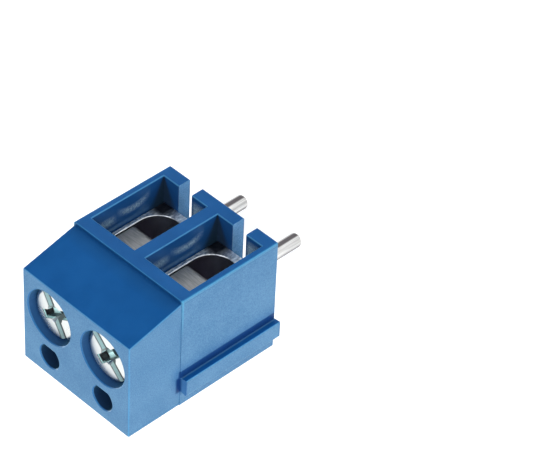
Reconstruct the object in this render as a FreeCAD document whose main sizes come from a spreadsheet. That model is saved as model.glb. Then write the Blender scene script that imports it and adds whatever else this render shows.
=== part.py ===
"""Two-pole screw terminal for a circuit board, with a wire clamp under each screw.

The wire entries face -Y, the screws are on top and the solder pins point down.
+Z is up, and the origin lies on the seating face, midway between the solder pins.
All sizes are in millimetres.
"""
import FreeCAD, Part
import math
import os
import re
import Sketcher

SIZES = (
    ("pitch", 5.0, "distance from pole to pole"),
    ("poles", 2, "number of poles"),
    ("pin_to_front", 3.9, "pin axis to the wire face"),
    ("body_height", 12.5, "seating face to the screw face"),
    ("entry_height", 8.2, "height of the proud wire-entry block"),
    ("entry_step", 0.24, "how far the wire-entry block stands proud"),
    ("top_setback", 1.32, "wire face to the front edge of the screw face"),
    ("side_step", 0.05, "how far the sides draw in above the wire-entry block"),
    ("corner_round", 0.12, "rounding of the upright corners"),
    ("edge_round", 0.1, "rounding of the edges round the screw face and the seating face"),
    ("rim_bevel", 0.06, "bevel of the well and bore mouths"),
    ("overcut", 1.0, "how far a cut starts outside the block"),
    ("well_width", 4.0, "width of a wire well"),
    ("well_floor", 1.0, "thickness of the floor under the wells"),
    ("well_top", 7.15, "height of a well's upper wall"),
    ("bore_dia", 4.0, "screw bore"),
    ("test_radius", 0.89, "flat-sided hole behind each screw"),
    ("test_flat", 0.72, "its centre to its flat side"),
    ("test_depth", 6.0, "its depth"),
    ("bore_web", 0.62, "wall between the screw bore and that flat side"),
    ("back_wall", 0.77, "wall between that hole and the back"),
    ("mark_radius", 1.05, "round moulding marks in the seating face"),
    ("mark_depth", 0.08, "their depth"),
    ("mark_front", 1.7, "pin axis to the front mark"),
    ("mark_back", 2.95, "pin axis to the rear marks"),
    ("slot_gap", 0.07, "pin's collar to each side of its slot in the floor"),
    ("slot_end_gap", 0.03, "pin's collar to the end of its slot"),
    ("slot_round", 0.3, "corner rounding at the slot's end"),
    ("rib_proud", 0.5, "how far the joining rib stands out of the side"),
    ("rib_start", 2.62, "pin axis to the front of the rib's root"),
    ("rib_root", 1.15, "width of the rib's root"),
    ("rib_flare", 0.09, "undercut of each flank of the rib"),
    ("rib_round", 0.1, "rounding of the rib's outer corners"),
    ("rib_end_gap", 0.05, "top of the rib to the step in the side"),
    ("rib_gap", 0.03, "clearance round a rib in its neighbour's groove"),
    ("clamp_setback", 2.2, "wire face to the clamp's front"),
    ("clamp_depth", 3.95, "clamp from front to back"),
    ("clamp_side_gap", 0.08, "clamp to each side wall of its well"),
    ("clamp_top_gap", 0.08, "clamp to the well's upper wall"),
    ("clamp_back_gap", 0.05, "clamp to the back of its well"),
    ("clamp_back_wall", 0.6, "wall that stops the wire"),
    ("clamp_floor", 0.63, "metal under the lowest point of the wire way"),
    ("clamp_shoulder", 6.2, "height where the clamp's whole face steps back"),
    ("clamp_cheek", 0.265, "clamp wall on each side of the wire way"),
    ("way_top", 5.5, "height of the wire way's ceiling"),
    ("way_bevel", 0.04, "bevel on the wire way's front rim"),
    ("thread_gap", 0.03, "screw to its hole in the clamp"),
    ("rivet_gap", 0.02, "rivet to its hole in the clamp"),
    ("guard_thick", 0.25, "sheet of the pressure plate"),
    ("guard_side_gap", 0.15, "pressure plate to each side of the wire way"),
    ("guard_height", 2.45, "height of its front flap"),
    ("guard_bottom", 3.8, "height of its underside as stored"),
    ("guard_bend", 0.4, "outer radius of its bend"),
    ("guard_setback", 0.02, "clamp's front to the flap"),
    ("guard_gap", 0.05, "flap to the clamp behind it"),
    ("guard_back_gap", 0.2, "plate to the wall that stops the wire"),
    ("guard_corner", 0.25, "corner rounding of the flap and the plate"),
    ("screw_dia", 2.5, "thread of the screw"),
    ("tip_bevel", 0.2, "bevel at the end of the thread"),
    ("head_gap", 0.12, "screw head to the wall of its bore"),
    ("head_height", 1.9, "height of the head"),
    ("head_sink", 0.5, "screw face to the top of the head"),
    ("head_round", 0.28, "rounding of the head's rim"),
    ("drive_width", 0.7, "width of the slot"),
    ("drive_depth", 0.85, "depth of the slot"),
    ("cross_span", 2.4, "length of the arms that cross the slot"),
    ("cross_width", 0.66, "width of the cross arms"),
    ("cross_depth", 0.7, "depth of the cross arms"),
    ("pit_dia", 1.36, "mouth of the pit in the middle of the cross"),
    ("pit_floor", 0.5, "floor of that pit"),
    ("pit_depth", 1.4, "its depth"),
    ("drive_turn", 30.0, "turn of the first screw's slot from Y towards -X in degrees"),
    ("drive_step", 16.0, "further turn of each next screw in degrees"),
    ("spigot_dia", 1.6, "end of the screw that carries the pressure plate"),
    ("spigot_gap", 0.05, "play of the plate round and along that end"),
    ("peen_dia", 2.2, "peened rim below the plate"),
    ("peen_height", 0.2, "height of that rim"),
    ("pin_dia", 1.0, "solder pin"),
    ("pin_length", 4.35, "seating face to the pin's tip"),
    ("pin_round", 0.28, "rounding of the pin's tip"),
    ("collar_proud", 0.04, "how far the pin's collar in the housing's floor stands proud"),
    ("rivet_dia", 0.8, "rivet that holds the pin in the clamp"),
    ("rivet_proud", 0.08, "how far the rivet stands into the wire way"),
)

doc = FreeCAD.newDocument("pcb_screw_terminal")
sheet = doc.addObject("Spreadsheet::Sheet", "Sizes")
for row, (alias, value, meaning) in enumerate(SIZES, start=1):
    sheet.set("A%d" % row, alias)
    sheet.set("B%d" % row, str(value))
    sheet.set("C%d" % row, meaning)
    sheet.setAlias("B%d" % row, alias)
doc.recompute()

# Places that several pieces share, worked out from the sheet
HALF_WIDTH = "(pitch * poles / 2)"
FIRST_POLE = "(pitch * (poles - 1) / 2)"
FRONT = "(0 - pin_to_front)"
TEST_CENTRE = "(bore_dia / 2 + bore_web + test_flat)"
BACK = "(bore_dia / 2 + bore_web + test_flat + test_radius + back_wall)"
CLAMP_FRONT = "(clamp_setback - pin_to_front)"
CLAMP_BACK = "(clamp_setback + clamp_depth - pin_to_front)"
CLAMP_TOP = "(well_top - clamp_top_gap)"
HALF_CLAMP = "(well_width / 2 - clamp_side_gap)"
HALF_WAY = "(well_width / 2 - clamp_side_gap - clamp_cheek)"
WAY_BACK = "(clamp_setback + clamp_depth - pin_to_front - clamp_back_wall)"
WAY_BOTTOM = "(well_floor + clamp_floor)"
WAY_CENTRE = "(well_floor + clamp_floor + well_width / 2 - clamp_side_gap - clamp_cheek)"
HALF_GUARD = "(well_width / 2 - clamp_side_gap - clamp_cheek - guard_side_gap)"
GUARD_FRONT = "(clamp_setback - pin_to_front + guard_setback)"
FLAP_POCKET = "(guard_setback + guard_thick + guard_gap)"
HEAD_TOP = "(body_height - head_sink)"
HALF_HEAD = "(bore_dia / 2 - head_gap)"
HALF_COLLAR = "(pin_dia / 2 + collar_proud)"
TINY = 1e-4


def cells(expression):
    """The expression, with every size in it read from the sheet."""
    return re.sub(r"[a-z]\w+", lambda word: "Sizes." + word.group(), expression)


def number(expression):
    """What an expression comes to at present."""
    return float(sheet.evalExpression(cells(expression)))


def bind(thing, name, expression):
    """Ties a property or a constraint to the sheet."""
    thing.setExpression(name, cells(expression))


def new_body(name):
    """An empty body, whose label names its file."""
    body = doc.addObject("PartDesign::Body", name)
    body.Label = name
    return body


def origin_part(body, role):
    """A plane or an axis of the body's own origin."""
    return next(part for part in body.Origin.OriginFeatures if part.Role == role)


def new_sketch(body, name, plane, offset="0"):
    """A sketch parallel to one of the body's origin planes, offset along its normal."""
    sketch = body.newObject("Sketcher::SketchObject", body.Name + "_" + name)
    sketch.AttachmentSupport = [(origin_part(body, plane), "")]
    sketch.MapMode = "FlatFace"
    bind(sketch, "AttachmentOffset.Base.z", offset)
    return sketch


def limit(sketch, kind, expression, *where):
    """Adds a size constraint and ties it to the sheet."""
    index = sketch.addConstraint(Sketcher.Constraint(kind, *where, number(expression)))
    bind(sketch, "Constraints[%d]" % index, expression)


def place(sketch, curve, end, across, up):
    """Holds a point of a curve at signed distances from the sketch's origin."""
    limit(sketch, "DistanceX", across, -1, 1, curve, end)
    limit(sketch, "DistanceY", up, -1, 1, curve, end)


def outline(sketch, corners):
    """A closed outline of straight lines from corner to corner."""
    points = [FreeCAD.Vector(number(across), number(up), 0) for across, up in corners]
    for i, start in enumerate(points):
        sketch.addGeometry(Part.LineSegment(start, points[(i + 1) % len(points)]))
    for i, (across, up) in enumerate(corners):
        place(sketch, i, 1, across, up)
        sketch.addConstraint(Sketcher.Constraint("Coincident", i - 1 if i else len(corners) - 1, 2, i, 1))


def rectangle(sketch, left, right, low, high):
    """An upright rectangle."""
    outline(sketch, [(left, low), (right, low), (right, high), (left, high)])


def rounded_rectangle(sketch, left, right, low, high, radius):
    """An upright rectangle with the same rounding at each corner."""
    x0, x1, y0, y1, r = [number(each) for each in (left, right, low, high, radius)]
    up = FreeCAD.Vector(0, 0, 1)
    quarter = math.pi / 2
    corners = [(x1 - r, y0 + r), (x1 - r, y1 - r), (x0 + r, y1 - r), (x0 + r, y0 + r)]
    ends = [((x0 + r, y0), (x1 - r, y0)), ((x1, y0 + r), (x1, y1 - r)),
            ((x1 - r, y1), (x0 + r, y1)), ((x0, y1 - r), (x0, y0 + r))]
    for i in range(4):
        start, stop = [FreeCAD.Vector(*point, 0) for point in ends[i]]
        sketch.addGeometry(Part.LineSegment(start, stop))
        circle = Part.Circle(FreeCAD.Vector(*corners[i], 0), up, r)
        sketch.addGeometry(Part.ArcOfCircle(circle, (i - 1) * quarter, i * quarter))
    for i in range(4):
        line, arc = 2 * i, 2 * i + 1
        sketch.addConstraint(Sketcher.Constraint("Tangent", line, 2, arc, 1))
        sketch.addConstraint(Sketcher.Constraint("Tangent", arc, 2, (line + 2) % 8, 1))
        sketch.addConstraint(Sketcher.Constraint("Vertical" if i % 2 else "Horizontal", line))
        if i:
            sketch.addConstraint(Sketcher.Constraint("Equal", 1, arc))
    limit(sketch, "Radius", radius, 1)
    limit(sketch, "DistanceY", low, -1, 1, 0, 1)
    limit(sketch, "DistanceX", right, -1, 1, 2, 1)
    limit(sketch, "DistanceY", high, -1, 1, 4, 1)
    limit(sketch, "DistanceX", left, -1, 1, 6, 1)


def circle(sketch, across, up, radius):
    """A full circle."""
    centre = FreeCAD.Vector(number(across), number(up), 0)
    index = sketch.addGeometry(Part.Circle(centre, FreeCAD.Vector(0, 0, 1), number(radius)))
    place(sketch, index, 3, across, up)
    limit(sketch, "Radius", radius, index)


def extrude(body, kind, name, sketch, length, both_ways=False):
    """A pad or a pocket from a sketch; a pocket must take material away."""
    doc.recompute()
    before = body.Shape.Volume if body.Tip and not body.Shape.isNull() else 0.0
    feature = body.newObject("PartDesign::" + kind, body.Name + "_" + name)
    feature.Profile = sketch
    feature.SideType = "Symmetric" if both_ways else "One side"
    bind(feature, "Length", length)
    sketch.Visibility = False
    doc.recompute()
    grown = feature.Shape.Volume - before
    if (grown > 0) != (kind == "Pad"):
        raise RuntimeError("%s works in the wrong direction" % feature.Name)
    return feature


def revolve(body, sketch):
    """Turns a half profile round the upright axis."""
    feature = body.newObject("PartDesign::Revolution", body.Name + "_turned")
    feature.Profile = sketch
    feature.ReferenceAxis = (sketch, ["V_Axis"])
    feature.Angle = 360
    sketch.Visibility = False
    doc.recompute()
    return feature


def dress(body, kind, name, amount, picks):
    """A fillet or a chamfer on the edges of the newest feature that a test picks."""
    doc.recompute()
    base = body.Tip
    names = ["Edge%d" % i for i, edge in enumerate(base.Shape.Edges, start=1) if picks(edge)]
    if not names:
        raise RuntimeError("no edge found for %s" % name)
    feature = body.newObject("PartDesign::" + kind, body.Name + "_" + name)
    feature.Base = (base, names)
    bind(feature, "Radius" if kind == "Fillet" else "Size", amount)
    doc.recompute()
    return feature


def lies_at(edge, axis, expression):
    """Whether an edge lies wholly at one height, depth or side."""
    box = edge.BoundBox
    low, high = getattr(box, axis + "Min"), getattr(box, axis + "Max")
    return abs(low - number(expression)) < TINY and abs(high - number(expression)) < TINY


def is_upright(edge):
    """Whether an edge runs straight up."""
    return edge.BoundBox.XLength < TINY and edge.BoundBox.YLength < TINY


# The moulded housing
def housing():
    body = new_body("housing")
    block(body)
    rib_and_groove(body)
    dress(body, "Fillet", "upper_edges", "edge_round", is_upper_edge)
    pole_cuts(body)
    cut_rims(body)
    return body


def block(body):
    """The outer form: a proud entry block below, a sloping front above it."""
    entry = new_sketch(body, "entry_plan", "XY_Plane")
    half = HALF_WIDTH
    rounded_rectangle(entry, "0 - " + half, half, FRONT, BACK, "corner_round")
    extrude(body, "Pad", "entry_block", entry, "entry_height")
    dress(body, "Fillet", "foot_edges", "edge_round", lambda edge: lies_at(edge, "Z", "0"))

    upper = new_sketch(body, "upper_plan", "XY_Plane", "entry_height")
    half = "(%s - side_step)" % HALF_WIDTH
    rounded_rectangle(upper, "0 - " + half, half, FRONT, BACK, "corner_round")
    extrude(body, "Pad", "upper_block", upper, "body_height - entry_height")

    slope = new_sketch(body, "slope_side", "YZ_Plane")
    outline(slope, [
        (FRONT + " - overcut", "entry_height"),
        (FRONT + " + entry_step", "entry_height"),
        (FRONT + " + top_setback", "body_height"),
        (FRONT + " - overcut", "body_height"),
    ])
    extrude(body, "Pocket", "sloping_front", slope, "pitch * poles + 2 * overcut", True)


def is_upper_edge(edge):
    """The edges round the screw face, and those down the sides of the slope."""
    if lies_at(edge, "Z", "body_height"):
        return True
    box = edge.BoundBox
    slopes = box.ZMin > number("entry_height") - TINY and box.ZMax > number("body_height") - TINY
    return slopes and box.XLength < TINY


def rib_and_groove(body):
    """The dovetail rib on one side and its groove on the other, which join housings in a row."""
    rib = new_sketch(body, "rib_plan", "XY_Plane")
    side = "(0 - %s)" % HALF_WIDTH
    outline(rib, [
        (side + " + edge_round + corner_round", "rib_start"),
        (side + " + edge_round + corner_round", "rib_start + rib_root"),
        (side, "rib_start + rib_root"),
        (side + " - rib_proud", "rib_start + rib_root + rib_flare"),
        (side + " - rib_proud", "rib_start - rib_flare"),
        (side, "rib_start"),
    ])
    extrude(body, "Pad", "joining_rib", rib, "entry_height - rib_end_gap")
    outer = side + " - rib_proud"
    dress(body, "Fillet", "rib_corners", "rib_round", lambda edge: lies_at(edge, "X", outer) and is_upright(edge))

    groove = new_sketch(body, "groove_plan", "XY_Plane", "0 - overcut")
    side = HALF_WIDTH
    reach = "(rib_proud + rib_gap)"
    spread = "(rib_gap + rib_flare * (rib_proud + rib_gap) / rib_proud)"
    back = "rib_start + rib_root"
    outline(groove, [
        (side + " + overcut", "rib_start - rib_gap"),
        (side, "rib_start - rib_gap"),
        ("%s - %s" % (side, reach), "rib_start - " + spread),
        ("%s - %s" % (side, reach), back + " + " + spread),
        (side, back + " + rib_gap"),
        (side + " + overcut", back + " + rib_gap"),
    ])
    extrude(body, "Pocket", "joining_groove", groove, "entry_height + overcut")


def pole_cuts(body):
    """What each pole takes out of the block, cut once and repeated along the row."""
    middle = FIRST_POLE
    cuts = []

    well = new_sketch(body, "well_front", "XZ_Plane", "pin_to_front")
    half = "well_width / 2"
    rectangle(well, middle + " - " + half, middle + " + " + half, "well_floor", "well_top")
    depth = "clamp_setback + clamp_depth + clamp_back_gap"
    cuts.append(extrude(body, "Pocket", "wire_well", well, depth))

    bore = new_sketch(body, "bore_plan", "XY_Plane", "body_height")
    circle(bore, middle, "0", "bore_dia / 2")
    depth = "body_height - well_top + (well_top - well_floor) / 2"
    cuts.append(extrude(body, "Pocket", "screw_bore", bore, depth))

    test = new_sketch(body, "test_plan", "XY_Plane", "body_height")
    flat_sided_circle(test, middle, TEST_CENTRE, "test_radius", TEST_CENTRE + " - test_flat")
    cuts.append(extrude(body, "Pocket", "test_hole", test, "test_depth"))

    slot = new_sketch(body, "slot_plan", "XY_Plane", "well_floor + clamp_floor")
    half = "(%s + slot_gap)" % HALF_COLLAR
    rounded_rectangle(
        slot, middle + " - " + half, middle + " + " + half,
        FRONT + " - overcut", HALF_COLLAR + " + slot_end_gap", "slot_round")
    cuts.append(extrude(body, "Pocket", "pin_slot", slot, "well_floor + clamp_floor + overcut"))

    mark = new_sketch(body, "mark_plan", "XY_Plane", "mark_depth")
    circle(mark, middle, "mark_back", "mark_radius")
    cuts.append(extrude(body, "Pocket", "rear_mark", mark, "mark_depth + overcut"))

    row = body.newObject("PartDesign::LinearPattern", "housing_poles")
    row.Originals = cuts
    row.Direction = (origin_part(body, "X_Axis"), [""])
    row.Reversed = True
    row.Mode = "Spacing"
    bind(row, "Offset", "pitch")
    bind(row, "Occurrences", "poles")
    body.Tip = row
    doc.recompute()

    mark = new_sketch(body, "front_mark_plan", "XY_Plane", "mark_depth")
    circle(mark, "0", "0 - mark_front", "mark_radius")
    extrude(body, "Pocket", "front_mark", mark, "mark_depth + overcut")


def flat_sided_circle(sketch, across, up, radius, flat):
    """A circle cut off by a level line."""
    x, y, r = number(across), number(up), number(radius)
    drop = y - number(flat)
    reach = (r ** 2 - drop ** 2) ** 0.5
    left = FreeCAD.Vector(x - reach, y - drop, 0)
    right = FreeCAD.Vector(x + reach, y - drop, 0)
    top = FreeCAD.Vector(x, y + r, 0)
    sketch.addGeometry(Part.Arc(right, top, left))
    sketch.addGeometry(Part.LineSegment(left, right))
    sketch.addConstraint(Sketcher.Constraint("Coincident", 0, 2, 1, 1))
    sketch.addConstraint(Sketcher.Constraint("Coincident", 1, 2, 0, 1))
    sketch.addConstraint(Sketcher.Constraint("Horizontal", 1))
    place(sketch, 0, 3, across, up)
    limit(sketch, "Radius", radius, 0)
    limit(sketch, "DistanceY", flat, -1, 1, 1, 1)


def cut_rims(body):
    """Small bevels round the mouths of the wells, the bores and the flat-sided holes."""
    dress(body, "Chamfer", "mouth_bevels", "rim_bevel", is_mouth)


def is_mouth(edge):
    """An edge where a well opens in the wire face, or a hole opens in the screw face."""
    inside = abs(edge.CenterOfMass.x) < number(HALF_WIDTH) - number("corner_round + edge_round")
    if lies_at(edge, "Z", "body_height"):
        runs_along_front = edge.BoundBox.YMax < number(FRONT + " + top_setback + 2 * edge_round")
        runs_along_back = edge.BoundBox.YMin > number(BACK + " - 2 * edge_round")
        return inside and not runs_along_front and not runs_along_back
    at_front = lies_at(edge, "Y", FRONT)
    box = edge.BoundBox
    in_height = box.ZMin > number("well_floor") - TINY and box.ZMax < number("well_top") + TINY
    return at_front and inside and in_height


# One wire clamp of plated brass
def clamp(name, pole):
    body = new_body(name)
    block_plan = new_sketch(body, "plan", "XY_Plane", "well_floor")
    rectangle(block_plan, "0 - " + HALF_CLAMP, HALF_CLAMP, CLAMP_FRONT, CLAMP_BACK)
    extrude(body, "Pad", "block", block_plan, CLAMP_TOP + " - well_floor")

    way = new_sketch(body, "way_front", "XZ_Plane", "0 - " + CLAMP_FRONT)
    wire_way(way)
    extrude(body, "Pocket", "wire_way", way, "clamp_depth - clamp_back_wall")
    dress(body, "Chamfer", "way_rim", "way_bevel", is_way_rim)

    flap = new_sketch(body, "flap_front", "XZ_Plane", "0 - " + CLAMP_FRONT)
    half = HALF_WAY
    above = CLAMP_TOP + " + overcut"
    wide = HALF_CLAMP + " + overcut"
    outline(flap, [
        ("0 - " + half, WAY_CENTRE),
        (half, WAY_CENTRE),
        (half, "clamp_shoulder"),
        (wide, "clamp_shoulder"),
        (wide, above),
        ("0 - (%s)" % wide, above),
        ("0 - (%s)" % wide, "clamp_shoulder"),
        ("0 - " + half, "clamp_shoulder"),
    ])
    extrude(body, "Pocket", "flap_recess", flap, FLAP_POCKET)

    bore = new_sketch(body, "bore_plan", "XY_Plane", CLAMP_TOP)
    circle(bore, "0", "0", "screw_dia / 2 + thread_gap")
    extrude(body, "Pocket", "threaded_hole", bore, CLAMP_TOP + " - " + WAY_CENTRE)

    rivet = new_sketch(body, "rivet_plan", "XY_Plane", WAY_CENTRE)
    circle(rivet, "0", "0", "rivet_dia / 2 + rivet_gap")
    extrude(body, "Pocket", "rivet_hole", rivet, WAY_CENTRE)
    set_on_pole(body, pole)
    return body


def wire_way(sketch):
    """An arch upside down: straight sides, a round bottom and a flat ceiling."""
    half = HALF_WAY
    r, low, high = number(half), number(WAY_CENTRE), number("way_top")
    points = [(-r, high), (-r, low), (0, low - r), (r, low), (r, high)]
    left_top, left, bottom, right, right_top = [FreeCAD.Vector(*point, 0) for point in points]
    sketch.addGeometry(Part.LineSegment(left_top, left))
    sketch.addGeometry(Part.Arc(left, bottom, right))
    sketch.addGeometry(Part.LineSegment(right, right_top))
    sketch.addGeometry(Part.LineSegment(right_top, left_top))
    sketch.addConstraint(Sketcher.Constraint("Tangent", 0, 2, 1, 1))
    sketch.addConstraint(Sketcher.Constraint("Tangent", 1, 2, 2, 1))
    sketch.addConstraint(Sketcher.Constraint("Coincident", 2, 2, 3, 1))
    sketch.addConstraint(Sketcher.Constraint("Coincident", 3, 2, 0, 1))
    sketch.addConstraint(Sketcher.Constraint("Horizontal", 3))
    place(sketch, 1, 3, "0", WAY_CENTRE)
    limit(sketch, "Radius", half, 1)
    limit(sketch, "DistanceX", "0 - " + half, -1, 1, 0, 1)
    limit(sketch, "DistanceX", half, -1, 1, 2, 2)
    limit(sketch, "DistanceY", "way_top", -1, 1, 2, 2)


def is_way_rim(edge):
    """The front rim of the wire way, without its ceiling."""
    box = edge.BoundBox
    inside = max(abs(box.XMin), abs(box.XMax)) < number(HALF_WAY) + TINY
    at_ceiling = box.ZMin > number("way_top") - TINY
    return lies_at(edge, "Y", CLAMP_FRONT) and inside and not at_ceiling


def set_on_pole(body, pole):
    """Moves a piece from the origin to its pole; the first pole is on the +X side."""
    bind(body, "Placement.Base.x", "%s - %d * pitch" % (FIRST_POLE, pole))


# One pressure plate, folded from sheet
def wire_guard(name, pole):
    body = new_body(name)
    side = new_sketch(body, "side", "YZ_Plane")
    back = WAY_BACK + " - guard_back_gap"
    outline(side, [
        (GUARD_FRONT, "guard_bottom"),
        (back, "guard_bottom"),
        (back, "guard_bottom + guard_thick"),
        (GUARD_FRONT + " + guard_thick", "guard_bottom + guard_thick"),
        (GUARD_FRONT + " + guard_thick", "guard_bottom + guard_height"),
        (GUARD_FRONT, "guard_bottom + guard_height"),
    ])
    extrude(body, "Pad", "sheet", side, "2 * " + HALF_GUARD, True)

    def on_bend(depth, height):
        return lambda edge: lies_at(edge, "Y", depth) and lies_at(edge, "Z", height)

    dress(body, "Fillet", "bend_outside", "guard_bend", on_bend(GUARD_FRONT, "guard_bottom"))
    inside = on_bend(GUARD_FRONT + " + guard_thick", "guard_bottom + guard_thick")
    dress(body, "Fillet", "bend_inside", "guard_bend - guard_thick", inside)

    def is_free_corner(edge):
        box = edge.BoundBox
        at_top = lies_at(edge, "Z", "guard_bottom + guard_height")
        crosses_flap = at_top and box.XLength < TINY
        crosses_plate = lies_at(edge, "Y", back) and box.XLength < TINY
        return crosses_flap or crosses_plate

    dress(body, "Fillet", "free_corners", "guard_corner", is_free_corner)
    hole = new_sketch(body, "hole_plan", "XY_Plane", "guard_bottom + guard_thick")
    circle(hole, "0", "0", "spigot_dia / 2 + spigot_gap")
    extrude(body, "Pocket", "screw_hole", hole, "guard_thick")
    set_on_pole(body, pole)
    return body


# One screw with a slot and a cross, peened under the pressure plate
def screw(name, pole):
    body = new_body(name)
    half = new_sketch(body, "half_profile", "XZ_Plane")
    peen_top = "guard_bottom - spigot_gap"
    tip = "guard_bottom + guard_thick + spigot_gap"
    outline(half, [
        ("0", peen_top + " - peen_height"),
        ("peen_dia / 2", peen_top + " - peen_height"),
        ("peen_dia / 2", peen_top),
        ("spigot_dia / 2", peen_top),
        ("spigot_dia / 2", tip),
        ("screw_dia / 2 - tip_bevel", tip),
        ("screw_dia / 2", tip + " + tip_bevel"),
        ("screw_dia / 2", HEAD_TOP + " - head_height"),
        (HALF_HEAD, HEAD_TOP + " - head_height"),
        (HALF_HEAD, HEAD_TOP),
        ("0", HEAD_TOP),
    ])
    revolve(body, half)
    dress(body, "Fillet", "head_rim", "head_round", lambda edge: lies_at(edge, "Z", HEAD_TOP))

    slot = new_sketch(body, "slot_plan", "XY_Plane", HEAD_TOP)
    reach = HALF_HEAD + " + overcut"
    rectangle(slot, "0 - drive_width / 2", "drive_width / 2", "0 - (%s)" % reach, reach)
    extrude(body, "Pocket", "slot", slot, "drive_depth")

    cross = new_sketch(body, "cross_plan", "XY_Plane", HEAD_TOP)
    rectangle(cross, "0 - cross_span / 2", "cross_span / 2", "0 - cross_width / 2", "cross_width / 2")
    extrude(body, "Pocket", "cross", cross, "cross_depth")

    pit = new_sketch(body, "pit_half", "XZ_Plane")
    outline(pit, [
        ("0", HEAD_TOP + " - pit_depth"),
        ("pit_floor / 2", HEAD_TOP + " - pit_depth"),
        ("pit_dia / 2", HEAD_TOP),
        ("0", HEAD_TOP),
    ])
    groove = body.newObject("PartDesign::Groove", name + "_pit")
    groove.Profile = pit
    groove.ReferenceAxis = (pit, ["V_Axis"])
    groove.Angle = 360
    pit.Visibility = False
    doc.recompute()
    set_on_pole(body, pole)
    body.Placement.Rotation = FreeCAD.Rotation(FreeCAD.Vector(0, 0, 1), 1)
    bind(body, "Placement.Rotation.Angle", "drive_turn + %d * drive_step" % pole)
    return body


# One solder pin, riveted into the floor of its clamp
def pin(name, pole):
    body = new_body(name)
    half = new_sketch(body, "half_profile", "XZ_Plane")
    outline(half, [
        ("0", "0 - pin_length"),
        ("pin_dia / 2", "0 - pin_length"),
        ("pin_dia / 2", "0"),
        (HALF_COLLAR, "0"),
        (HALF_COLLAR, "well_floor"),
        ("rivet_dia / 2", "well_floor"),
        ("rivet_dia / 2", WAY_BOTTOM + " + rivet_proud"),
        ("0", WAY_BOTTOM + " + rivet_proud"),
    ])
    revolve(body, half)
    dress(body, "Fillet", "tip", "pin_round", lambda edge: lies_at(edge, "Z", "0 - pin_length"))
    set_on_pole(body, pole)
    return body


pieces = [housing()]
for pole in range(int(number("poles"))):
    for make in (clamp, wire_guard, screw, pin):
        pieces.append(make("%s_%d" % (make.__name__, pole + 1), pole))
doc.recompute()

for each in doc.Objects:
    if "Invalid" in each.State or "Error" in each.State:
        raise RuntimeError("%s is not right: %s" % (each.Name, each.State))
for piece in pieces:
    if piece.Shape.isNull() or not piece.Shape.isValid():
        raise RuntimeError("%s has no valid shape" % piece.Label)

os.makedirs("parts", exist_ok=True)
for piece in pieces:
    piece.Shape.exportStep("parts/%s.step" % piece.Label)
    print("%-14s %8.3f mm3, %d solid" % (piece.Label, piece.Shape.Volume, len(piece.Shape.Solids)))
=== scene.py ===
"""Looks of the two-pole screw terminal: finishes, joining groove, light, floor and camera.

Lengths are written in millimetres and turned into metres by MM.
"""
import functools
import math

import bmesh
import bpy
from mathutils import Matrix, Vector, interpolate
from mathutils.bvhtree import BVHTree


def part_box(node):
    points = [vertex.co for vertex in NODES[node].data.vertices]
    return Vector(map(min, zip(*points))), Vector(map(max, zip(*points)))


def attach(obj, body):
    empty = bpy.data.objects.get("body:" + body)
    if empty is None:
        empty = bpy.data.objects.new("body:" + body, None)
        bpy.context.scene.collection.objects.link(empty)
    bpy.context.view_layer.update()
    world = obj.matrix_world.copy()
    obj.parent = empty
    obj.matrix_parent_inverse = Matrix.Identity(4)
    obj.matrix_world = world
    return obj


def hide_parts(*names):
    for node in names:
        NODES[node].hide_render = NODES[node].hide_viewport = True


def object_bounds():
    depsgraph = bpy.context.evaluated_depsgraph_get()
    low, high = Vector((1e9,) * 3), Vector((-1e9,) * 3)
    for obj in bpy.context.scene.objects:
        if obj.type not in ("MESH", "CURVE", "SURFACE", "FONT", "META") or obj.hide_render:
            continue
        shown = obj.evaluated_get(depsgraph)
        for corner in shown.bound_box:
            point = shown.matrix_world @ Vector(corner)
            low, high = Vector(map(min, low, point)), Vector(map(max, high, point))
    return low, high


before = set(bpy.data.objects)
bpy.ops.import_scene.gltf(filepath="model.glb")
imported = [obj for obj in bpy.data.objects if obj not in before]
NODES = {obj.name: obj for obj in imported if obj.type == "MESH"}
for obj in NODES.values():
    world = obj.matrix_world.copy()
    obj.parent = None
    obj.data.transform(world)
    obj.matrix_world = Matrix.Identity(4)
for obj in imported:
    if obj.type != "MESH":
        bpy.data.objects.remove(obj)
CAD_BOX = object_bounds()

MM = 0.001


def corner_mm(node, side):
    """A node's lowest (0) or highest (1) corner at rest, in millimetres."""
    return [round(part / MM, 3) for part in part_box(node)[side]]


# Sizes of the part, read from the frame
RIB_FACE, WIRE_FACE, _ = corner_mm("housing", 0)
HALF_WIDTH, BACK, SCREW_FACE = corner_mm("housing", 1)
CLAMP_SIDE, CLAMP_FRONT, WELL_FLOOR = corner_mm("clamp_1", 0)
HALF_PITCH = (CLAMP_SIDE + corner_mm("clamp_1", 1)[0]) / 2
HEAD_TOP = corner_mm("screw_1", 1)[2]
RIB_PROUD = -HALF_WIDTH - RIB_FACE

# Sizes of the part that no node's box gives, and the turns of the screws' slots in degrees
HALF_WELL = 2.0
WELL_ROOF = 7.15
BORE_RADIUS = 2.0
STEP = 8.2
SCREW_FACE_FRONT = -2.58
RIB_START = 2.62
RIB_END = 3.77
RIB_FLARE = 0.09
RIB_GAP = 0.03
SLOT_TURN = {"screw_1": 30.0, "screw_2": 46.0}

# The photograph's camera, in the part's frame
IMAGE_WIDTH = 550
FOCAL_PIXELS = 3012.9
SENSOR_MM = 36.0
CLIP = (10.0, 10000.0)
CAMERA_AT = (-102.03, -129.17, 101.24)
CAMERA_FORWARD = (0.5198, 0.6619, -0.5401)
CAMERA_UP = (0.4951, -0.7486, -0.441)


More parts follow.
